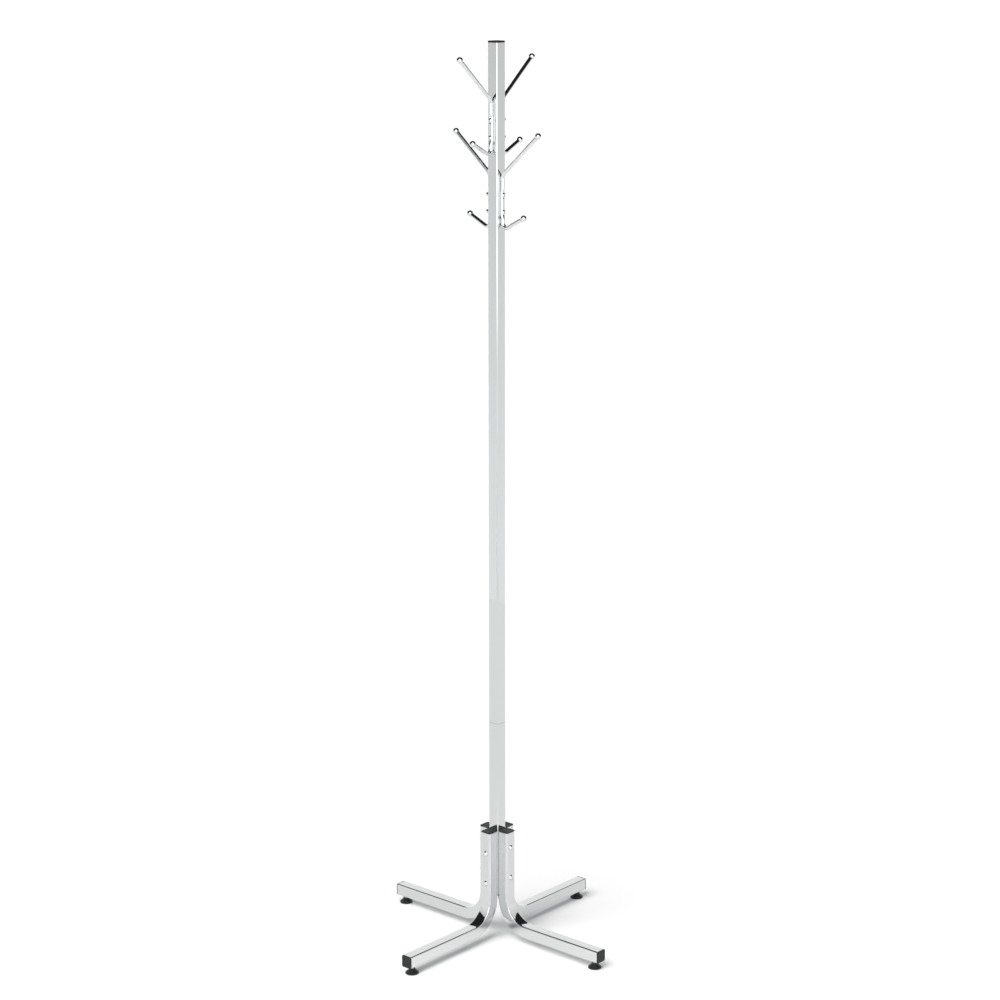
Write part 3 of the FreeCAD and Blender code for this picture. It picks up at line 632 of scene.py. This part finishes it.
def add_fasteners(bolts, nuts, kind, side):
    """A pair of bolts with their heads on one side, and the cap nuts on their other ends."""
    turn = side_turn(side)
    way = turn @ OUTWARD
    heights, rim = bolt_places(bolts)
    tip, top = sorted(corner.dot(way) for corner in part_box(bolts))
    nut_top, seat = sorted(corner.dot(way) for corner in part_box(nuts))
    bolt = moved(bolt_shape(kind, top + seat, rim, -seat - tip), turn @ Matrix.Rotation(math.pi / 2, 4, "Y"))
    nut = moved(cap_nut_shape(kind, seat - nut_top), turn @ Matrix.Rotation(-math.pi / 2, 4, "Y"))
    add_piece(bolts, [moved(bolt, Matrix.Translation(way * -seat + UP * z)) for z in heights])
    add_piece(nuts, [moved(nut, Matrix.Translation(way * seat + UP * z)) for z in heights])


def make_fasteners():
    for pair, side in LEG_PAIRS.items():
        add_fasteners(f"leg_bolts_{pair}", f"leg_cap_nuts_{pair}", LEG_BOLT, side)
    for level, side in HOOK_PAIRS.items():
        add_fasteners(f"hook_bolts_{level}", f"hook_cap_nuts_{level}", HOOK_BOLT, side)


# ---------------------------------------------------------------- coat hooks

ROD = 4.0 * MM
ROD_AXIS = TUBE / 2 + ROD
ROD_POINTS = 36
PRESSED_HALF = 22.0 * MM
ROUND_FROM = 31.0 * MM
PRESSED_WIDTH = 4.75 * MM
PRESSED_FRONT = 3.3 * MM
PRESSED_BACK = 2.9 * MM
BACK_SQUARENESS = 0.55
SEAT_RADIUS = 4.9 * MM
SEAT_BLEND = 1.6 * MM
LONG_ANGLE, LONG_BEND = math.radians(41.5), 18.0 * MM
SHORT_ANGLE, SHORT_BEND = math.radians(27.0), 9.0 * MM
ARM_STEP, PRESSED_STEP, ROD_ARC_STEP = 6.0 * MM, 0.75 * MM, math.radians(4)
BALL_SEAT = 1.5 * MM
BALL_MOUTH = 4.75 * MM
BALL_POINTS, BALL_STEPS = 40, 26
BEAD = 0.7 * MM
BEAD_WIDTH = 0.45 * MM


def round_section():
    angles = [FULL_TURN * n / ROD_POINTS for n in range(ROD_POINTS)]
    return [(-ROD * math.cos(angle), ROD * math.sin(angle)) for angle in angles]


def pressed_section(height, bolts, seat):
    """The rod on its vertical run: pressed in the middle, with a flat under each bolt head."""
    press = 1 - ease(abs(height), PRESSED_HALF, ROUND_FROM)
    centre = TUBE / 2 + PRESSED_BACK
    section = []
    for n in range(ROD_POINTS):
        out, across = math.cos(FULL_TURN * n / ROD_POINTS), math.sin(FULL_TURN * n / ROD_POINTS)
        depth = PRESSED_FRONT * out if out > 0 else -PRESSED_BACK * abs(out) ** BACK_SQUARENESS
        x = (ROD_AXIS + ROD * out) * (1 - press) + (centre + depth) * press
        y = (ROD * (1 - press) + PRESSED_WIDTH * press) * across
        off = min(math.hypot(height - bolt, y) for bolt in bolts)
        if x > seat:
            x = seat + (x - seat) * ease(off, SEAT_RADIUS, SEAT_RADIUS + SEAT_BLEND)
        section.append((ROD_AXIS - x, y))
    return section


def way_at(angle):
    return Vector((math.cos(angle), 0.0, math.sin(angle)))


def ball_place(kind, level):
    """The centre and the radius of a ball tip, in the plane of its own hook."""
    low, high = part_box(f"hook_{kind}_tip_lower_front_right")
    radius = (high.y - low.y) / 2
    return Vector((high.x - radius, 0.0, high.z - radius - level)), radius


def rod_shape(long_ball, short_ball, bolts, seat):
    """The bent rod of a hook, its bolts' middle at the origin."""
    high = long_ball.z - (long_ball.x - ROD_AXIS) * math.tan(LONG_ANGLE)
    low = short_ball.z - (short_ball.x - ROD_AXIS) * math.tan(SHORT_ANGLE)
    path = [short_ball - way_at(SHORT_ANGLE) * BALL_SEAT, Vector((ROD_AXIS, 0.0, low)),
            Vector((ROD_AXIS, 0.0, high)), long_ball - way_at(LONG_ANGLE) * BALL_SEAT]
    rings = []
    for place, tangent, _ in path_frames(path, [SHORT_BEND, LONG_BEND],
                                         [ARM_STEP, PRESSED_STEP, ARM_STEP], ROD_ARC_STEP):
        pressed = abs(place.x - ROD_AXIS) < EASED and abs(place.z) < ROUND_FROM
        section = pressed_section(place.z, bolts, seat) if pressed else round_section()
        rings.append(frame_ring(place, tangent, section))
    return skin(rings)


def ball_shape(radius):
    """A ball tip along Z: a blind bore for the rod, and a small brazed bead where the rod enters."""
    mouth = math.degrees(math.acos(BALL_MOUTH / radius))
    lip = -math.sqrt(radius ** 2 - BALL_MOUTH ** 2)
    profile = [(0, radius)] + arc(0.0, 0.0, radius, 90, -mouth, BALL_STEPS)[1:]
    profile += [(ROD + BEAD_WIDTH, lip - 0.3 * BEAD), (ROD + BEAD_WIDTH / 3, lip - 0.6 * BEAD)]
    profile += [(ROD, lip - BEAD), (ROD, -BALL_SEAT), (0, -BALL_SEAT)]
    return turned(profile, BALL_POINTS)


def make_hooks():
    levels = {level: sum(bolt_places(f"hook_bolts_{level}")[0]) / 2 for level in HOOK_PAIRS}
    bolts = [z - levels["lower"] for z in bolt_places("hook_bolts_lower")[0]]
    seat = -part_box("hook_cap_nuts_lower")[1].x
    long_ball, radius = ball_place("long", levels["lower"])
    short_ball, _ = ball_place("short", levels["lower"])
    rod = rod_shape(long_ball, short_ball, bolts, seat)
    ball = ball_shape(radius)
    for hook, level in HOOKS.items():
        place = Matrix.Translation(UP * levels[level]) @ side_turn(hook.replace(f"{level}_", ""))
        holes = [(place @ (OUTWARD * TUBE / 4 + UP * z), place @ (OUTWARD * 1.5 * TUBE + UP * z), HOOK_HOLE)
                 for z in bolts]
        add_piece(f"coat_hook_{hook}", [moved(rod, place)], holes)
        for kind, centre, angle in (("long", long_ball, LONG_ANGLE), ("short", short_ball, SHORT_ANGLE)):
            turn = way_at(angle).to_track_quat("Z", "Y").to_matrix().to_4x4()
            add_piece(f"hook_{kind}_tip_{hook}", [moved(ball, place @ Matrix.Translation(centre) @ turn)])


# ---------------------------------------------------------------- levelling glides

STEM_PITCH = 1.25 * MM
STEM_BORE = 4.0 * MM
STEM_CORE = 3.3 * MM
STEM_PLAY = 0.05 * MM
STEM_HEAD = 3.5 * MM
HEAD_EDGE = 0.3 * MM
STEM_POINTS = 40
GLIDE_PLAY = 0.1 * MM
STOP_GAP = 0.12 * MM
BASE_RIM = 2.8 * MM
BASE_BEVEL = 0.7 * MM
BASE_EDGE = 0.4 * MM
BASE_POINTS = 64
RECESS = 8.0 * MM
RECESS_DEPTH = 0.35 * MM
RECESS_SLOPE = 0.4 * MM
NECK = 6.3 * MM
NECK_HEIGHT = 2.4 * MM
# the curve where the cone runs into the neck: (outside the neck, above the cone's top)
NECK_CURVE = ((0.9 * MM, -0.55 * MM), (0.3 * MM, -0.05 * MM), (0.0, 0.6 * MM))
FLANGE_EDGE = 0.2 * MM
BORE_BEVEL = 0.3 * MM
KNURLS = 24
KNURL_DEPTH = 0.22 * MM
KNURL_POINTS = 96


def glide_base_shape(radius, height, floor, head):
    """The moulded foot: a low cone on a disc, recessed beneath, with a socket for the stem's head."""
    roof, cone_top, mouth = floor + STEM_HEAD + 2 * GLIDE_PLAY, height - NECK_HEIGHT, head + GLIDE_PLAY
    profile = [(0, RECESS_DEPTH), (RECESS - RECESS_SLOPE, RECESS_DEPTH), (RECESS, 0.0)]
    profile += arc(radius - BASE_BEVEL, BASE_BEVEL, BASE_BEVEL, 270, 360, 5)
    profile += arc(radius - BASE_EDGE, BASE_RIM - BASE_EDGE, BASE_EDGE, 0, 50, 4)
    profile += [(NECK + out, cone_top + rise) for out, rise in NECK_CURVE]
    profile += arc(NECK - BASE_EDGE, height - BASE_EDGE, BASE_EDGE, 0, 90, 4)
    profile += [(STEM_BORE, height), (STEM_BORE, roof), (mouth, roof), (mouth, floor), (0, floor)]
    return turned(profile, BASE_POINTS)


def glide_stem_shape(low, top, head):
    """A threaded stem with a round head."""
    head_top = low + STEM_HEAD
    profile = [(0, low)] + arc(head - HEAD_EDGE, low + HEAD_EDGE, HEAD_EDGE, 270, 360, 3)
    profile += arc(head - HEAD_EDGE, head_top - HEAD_EDGE, HEAD_EDGE, 0, 90, 3)
    profile.append((STEM_CORE + 0.2 * MM, head_top))
    profile += thread(STEM_CORE, STEM_BORE - STEM_PLAY, STEM_PITCH, head_top + 0.2 * MM, top - 0.9 * MM)
    profile += [(STEM_CORE - 0.6 * MM, top), (0, top)]
    return turned(profile, STEM_POINTS)


def knurl(angle):
    """The radius round the insert's barrel: a row of small ridges."""
    return INSERT_HOLE - KNURL_DEPTH * abs(2 * (angle * KNURLS / FULL_TURN % 1.0) - 1)


def glide_insert_shape(low, shoulder, top, flange):
    """A flanged steel insert with a knurled barrel and a through bore."""
    mouth = STEM_BORE + BORE_BEVEL
    profile = [(mouth, low)] + arc(flange - FLANGE_EDGE, low + FLANGE_EDGE, FLANGE_EDGE, 270, 360, 3)
    profile += arc(flange - FLANGE_EDGE, shoulder - FLANGE_EDGE, FLANGE_EDGE, 0, 90, 3)
    profile += [(INSERT_HOLE, shoulder), (INSERT_HOLE, shoulder + 1.6 * MM), (knurl, shoulder + 2.0 * MM),
                (knurl, top - 1.0 * MM), (INSERT_HOLE - 0.4 * MM, top - 0.6 * MM),
                (INSERT_HOLE - 0.7 * MM, top), (mouth, top), (STEM_BORE, top - BORE_BEVEL),
                (STEM_BORE, low + BORE_BEVEL)]
    return turned(profile, KNURL_POINTS, wrap=True)


def make_glides():
    for side in SIDES:
        base_low, base_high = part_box(f"glide_base_{side}")
        stem_low, stem_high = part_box(f"glide_stem_{side}")
        insert_low, insert_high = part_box(f"glide_insert_{side}")
        head = (stem_high.x - stem_low.x) / 2
        centre = (stem_low + stem_high) / 2
        place = Matrix.Translation((centre.x, centre.y, 0.0)) @ side_turn(side)
        base = glide_base_shape((base_high.x - base_low.x) / 2, base_high.z, stem_low.z - GLIDE_PLAY, head)
        stem = glide_stem_shape(stem_low.z, stem_high.z, head)
        insert = glide_insert_shape(insert_low.z + STOP_GAP, LEG_LOW.z, insert_high.z,
                                    (insert_high.x - insert_low.x) / 2)
        add_piece(f"glide_base_{side}", [moved(base, place)], body=f"glide_{side}")
        add_piece(f"glide_stem_{side}", [moved(stem, place)], body=f"stem_{side}")
        add_piece(f"glide_insert_{side}", [moved(insert, place)])


def dress_sleeve():
    """The sleeve inside the post keeps its CAD shape."""
    node = "post_joint_sleeve"
    for slot in frame["nodes"][node].material_slots:
        slot.material = LOOKS[SLOT_OF[node]]


# ---------------------------------------------------------------- studio

FLOOR_HALF = 150.0
SKY_BACKDROP = 1.1
SKY_FILL = 0.51
FILL_TINT = (0.94, 1.0, 1.02, 1.0)
DOME_GLOW = 2.60
SHOULDER_GLOW = 1.13
BACK_GLOW = 1.10
SIDE_GLOW = 1.13
SIDE_FALL = 0.16
DARK = 0.02
PANEL_STEPS = 72
SIDE_DISTANCE = 2.6
FRONT_DISTANCE = 5.2
# where one thing gives way to the next, in shares of facing the camera
PANELS_MOVE_OUT = (0.10, 0.80)
BACK_BEGINS = (0.30, 0.75)
DOME_BEGINS = (0.85, 0.92)
TOP_OPENS = (0.40, 0.60)
# the same, in metres above the floor
DOME_FOOT = (0.30, 0.70)
TOP_EDGE = (1.84, 2.00)
# the softbox in the sky, in shares of each direction
SOFTBOX_FRONT = (0.46, 0.54)
SOFTBOX_LOW = (0.52, 0.58)
SOFTBOX_MIDDLE = (0.28, 0.36)
SHOULDER_BEGINS = (0.40, 0.52)
FLOOR_WHITE = (0.85, 0.85, 0.85, 1.0)
FLOOR_ROUGHNESS = 0.9
POOL_POWER = 130.0
POOL_CONE = math.radians(20)
POOL_SIZE = 0.3
POOL_AHEAD = 0.52
POOL_HEIGHT = 2.5
KEY_POWER = 2.90
KEY_COLOUR = (1.05, 1.0, 0.985)
KEY_ANGLE = math.radians(46)
KEY_RIGHT = 0.50
KEY_AWAY = 0.62
PANEL_LEVELS = (0.0, 0.30, 0.50, 0.70, 1.00, 1.35, 1.70, 1.85, 1.92, 2.00)


def make_floor():
    bpy.ops.mesh.primitive_plane_add(size=2 * FLOOR_HALF)
    floor = bpy.context.object
    floor.name = "floor"
    material, _, _, shader = new_material("floor")
    shader.inputs["Base Color"].default_value = FLOOR_WHITE
    shader.inputs["Roughness"].default_value = FLOOR_ROUGHNESS
    shader.inputs["Specular IOR Level"].default_value = 0.0
    floor.data.materials.append(material)


def panel_glow(facing, height):
    """Radiance of the wall of panels, from the direction that it is seen in and its height."""
    side = SIDE_GLOW - SIDE_FALL * height
    level = side + (BACK_GLOW - side) * ease(-facing, *BACK_BEGINS)
    level += (DOME_GLOW - level) * ease(facing, *DOME_BEGINS) * ease(height, *DOME_FOOT)
    top = 1.0 - ease(height, *TOP_EDGE) * (1.0 - ease(facing, *TOP_OPENS))
    return max(DARK, level * top)


def make_panels():
    """A ring of soft panels that only reflections see."""
    places, faces, glow = [], [], []
    for step in range(PANEL_STEPS):
        azimuth = FULL_TURN * step / PANEL_STEPS
        outward = Vector((math.cos(azimuth), math.sin(azimuth), 0.0))
        facing = outward.dot(TOWARDS_CAMERA)
        radius = SIDE_DISTANCE + (FRONT_DISTANCE - SIDE_DISTANCE) * ease(facing, *PANELS_MOVE_OUT)
        for level in PANEL_LEVELS:
            places.append(outward * radius + UP * level)
            glow.append(panel_glow(facing, level))
    rows = len(PANEL_LEVELS)
    for step in range(PANEL_STEPS):
        here, there = step * rows, (step + 1) % PANEL_STEPS * rows
        faces += [(here + row, there + row, there + row + 1, here + row + 1) for row in range(rows - 1)]
    mesh = bpy.data.meshes.new("panels")
    mesh.from_pydata(places, [], faces)
    mesh.attributes.new("glow", "FLOAT", "POINT").data.foreach_set("value", glow)
    material, nodes, links, shader = new_material("panels")
    nodes.remove(shader)
    emission = nodes.new("ShaderNodeEmission")
    level = nodes.new("ShaderNodeAttribute")
    level.attribute_name = "glow"
    links.new(level.outputs["Fac"], emission.inputs["Strength"])
    links.new(emission.outputs["Emission"], nodes["Material Output"].inputs["Surface"])
    mesh.materials.append(material)
    panels = bpy.data.objects.new("panels", mesh)
    bpy.context.scene.collection.objects.link(panels)
    for kind in ("camera", "diffuse", "transmission", "volume_scatter", "shadow"):
        setattr(panels, f"visible_{kind}", False)


def smooth_step(nodes, links, value, limits, low=0.0, high=1.0):
    result = remap(nodes, links, value, low, high, *limits)
    result.node.interpolation_type = "SMOOTHSTEP"
    return result


def math_node(nodes, links, operation, *values):
    node = nodes.new("ShaderNodeMath")
    node.operation = operation
    for socket, value in zip(node.inputs, values):
        links.new(value, socket)
    return node.outputs["Value"]


def along(nodes, links, vector, direction):
    node = nodes.new("ShaderNodeVectorMath")
    node.operation = "DOT_PRODUCT"
    node.inputs[1].default_value = direction
    links.new(vector, node.inputs[0])
    return node.outputs["Value"]


def make_world():
    """Soft white all round. Reflections see a softbox in front, brightest in its middle, and dark beyond."""
    world = bpy.data.worlds.new("studio")
    bpy.context.scene.world = world
    world.use_nodes = True
    nodes, links = world.node_tree.nodes, world.node_tree.links
    way = nodes.new("ShaderNodeTexCoord").outputs["Generated"]
    front = smooth_step(nodes, links, along(nodes, links, way, TOWARDS_CAMERA), SOFTBOX_FRONT)
    low_part = smooth_step(nodes, links, along(nodes, links, way, UP), SOFTBOX_LOW, 1.0, 0.0)
    across = math_node(nodes, links, "ABSOLUTE", along(nodes, links, way, CAMERA_RIGHT))
    middle_part = smooth_step(nodes, links, across, SOFTBOX_MIDDLE, 1.0, 0.0)
    whole = math_node(nodes, links, "MAXIMUM", low_part, middle_part)
    level = smooth_step(nodes, links, across, SHOULDER_BEGINS, DOME_GLOW, SHOULDER_GLOW)
    softbox = math_node(nodes, links, "MULTIPLY", front, whole)
    lit = math_node(nodes, links, "MULTIPLY", softbox, level)
    rays = nodes.new("ShaderNodeLightPath").outputs
    seen = remap(nodes, links, rays["Is Camera Ray"], SKY_FILL, SKY_BACKDROP)
    strength = nodes.new("ShaderNodeMix")
    links.new(rays["Is Glossy Ray"], strength.inputs["Factor"])
    links.new(seen, strength.inputs["A"])
    links.new(remap(nodes, links, lit, DARK, DOME_GLOW, 0.0, DOME_GLOW), strength.inputs["B"])
    background = nodes["Background"]
    background.inputs["Color"].default_value = FILL_TINT
    links.new(strength.outputs["Result"], background.inputs["Strength"])


def make_pool():
    """A patch of brighter floor in front of the rack, which the faces between its legs reflect."""
    spot = bpy.data.lights.new("pool", "SPOT")
    spot.energy = POOL_POWER
    spot.spot_size = POOL_CONE
    spot.spot_blend = 1.0
    spot.shadow_soft_size = POOL_SIZE
    pool = bpy.data.objects.new("pool", spot)
    pool.location = TOWARDS_CAMERA * POOL_AHEAD + UP * POOL_HEIGHT
    pool.visible_glossy = False
    bpy.context.scene.collection.objects.link(pool)


def make_key():
    """A broad light from above, in front and to the left, that gives the soft shadows."""
    sun = bpy.data.lights.new("key", "SUN")
    sun.energy = KEY_POWER
    sun.color = KEY_COLOUR
    sun.angle = KEY_ANGLE
    key = bpy.data.objects.new("key", sun)
    direction = CAMERA_RIGHT * KEY_RIGHT - TOWARDS_CAMERA * KEY_AWAY - UP
    key.rotation_euler = direction.to_track_quat("-Z", "Y").to_euler()
    key.visible_glossy = False
    bpy.context.scene.collection.objects.link(key)


make_camera()
make_world()
make_floor()
make_panels()
make_pool()
make_key()
make_post()
make_plugs()
make_legs()
make_fasteners()
make_hooks()
make_glides()
dress_sleeve()
bpy.context.scene.view_settings.view_transform = "Standard"
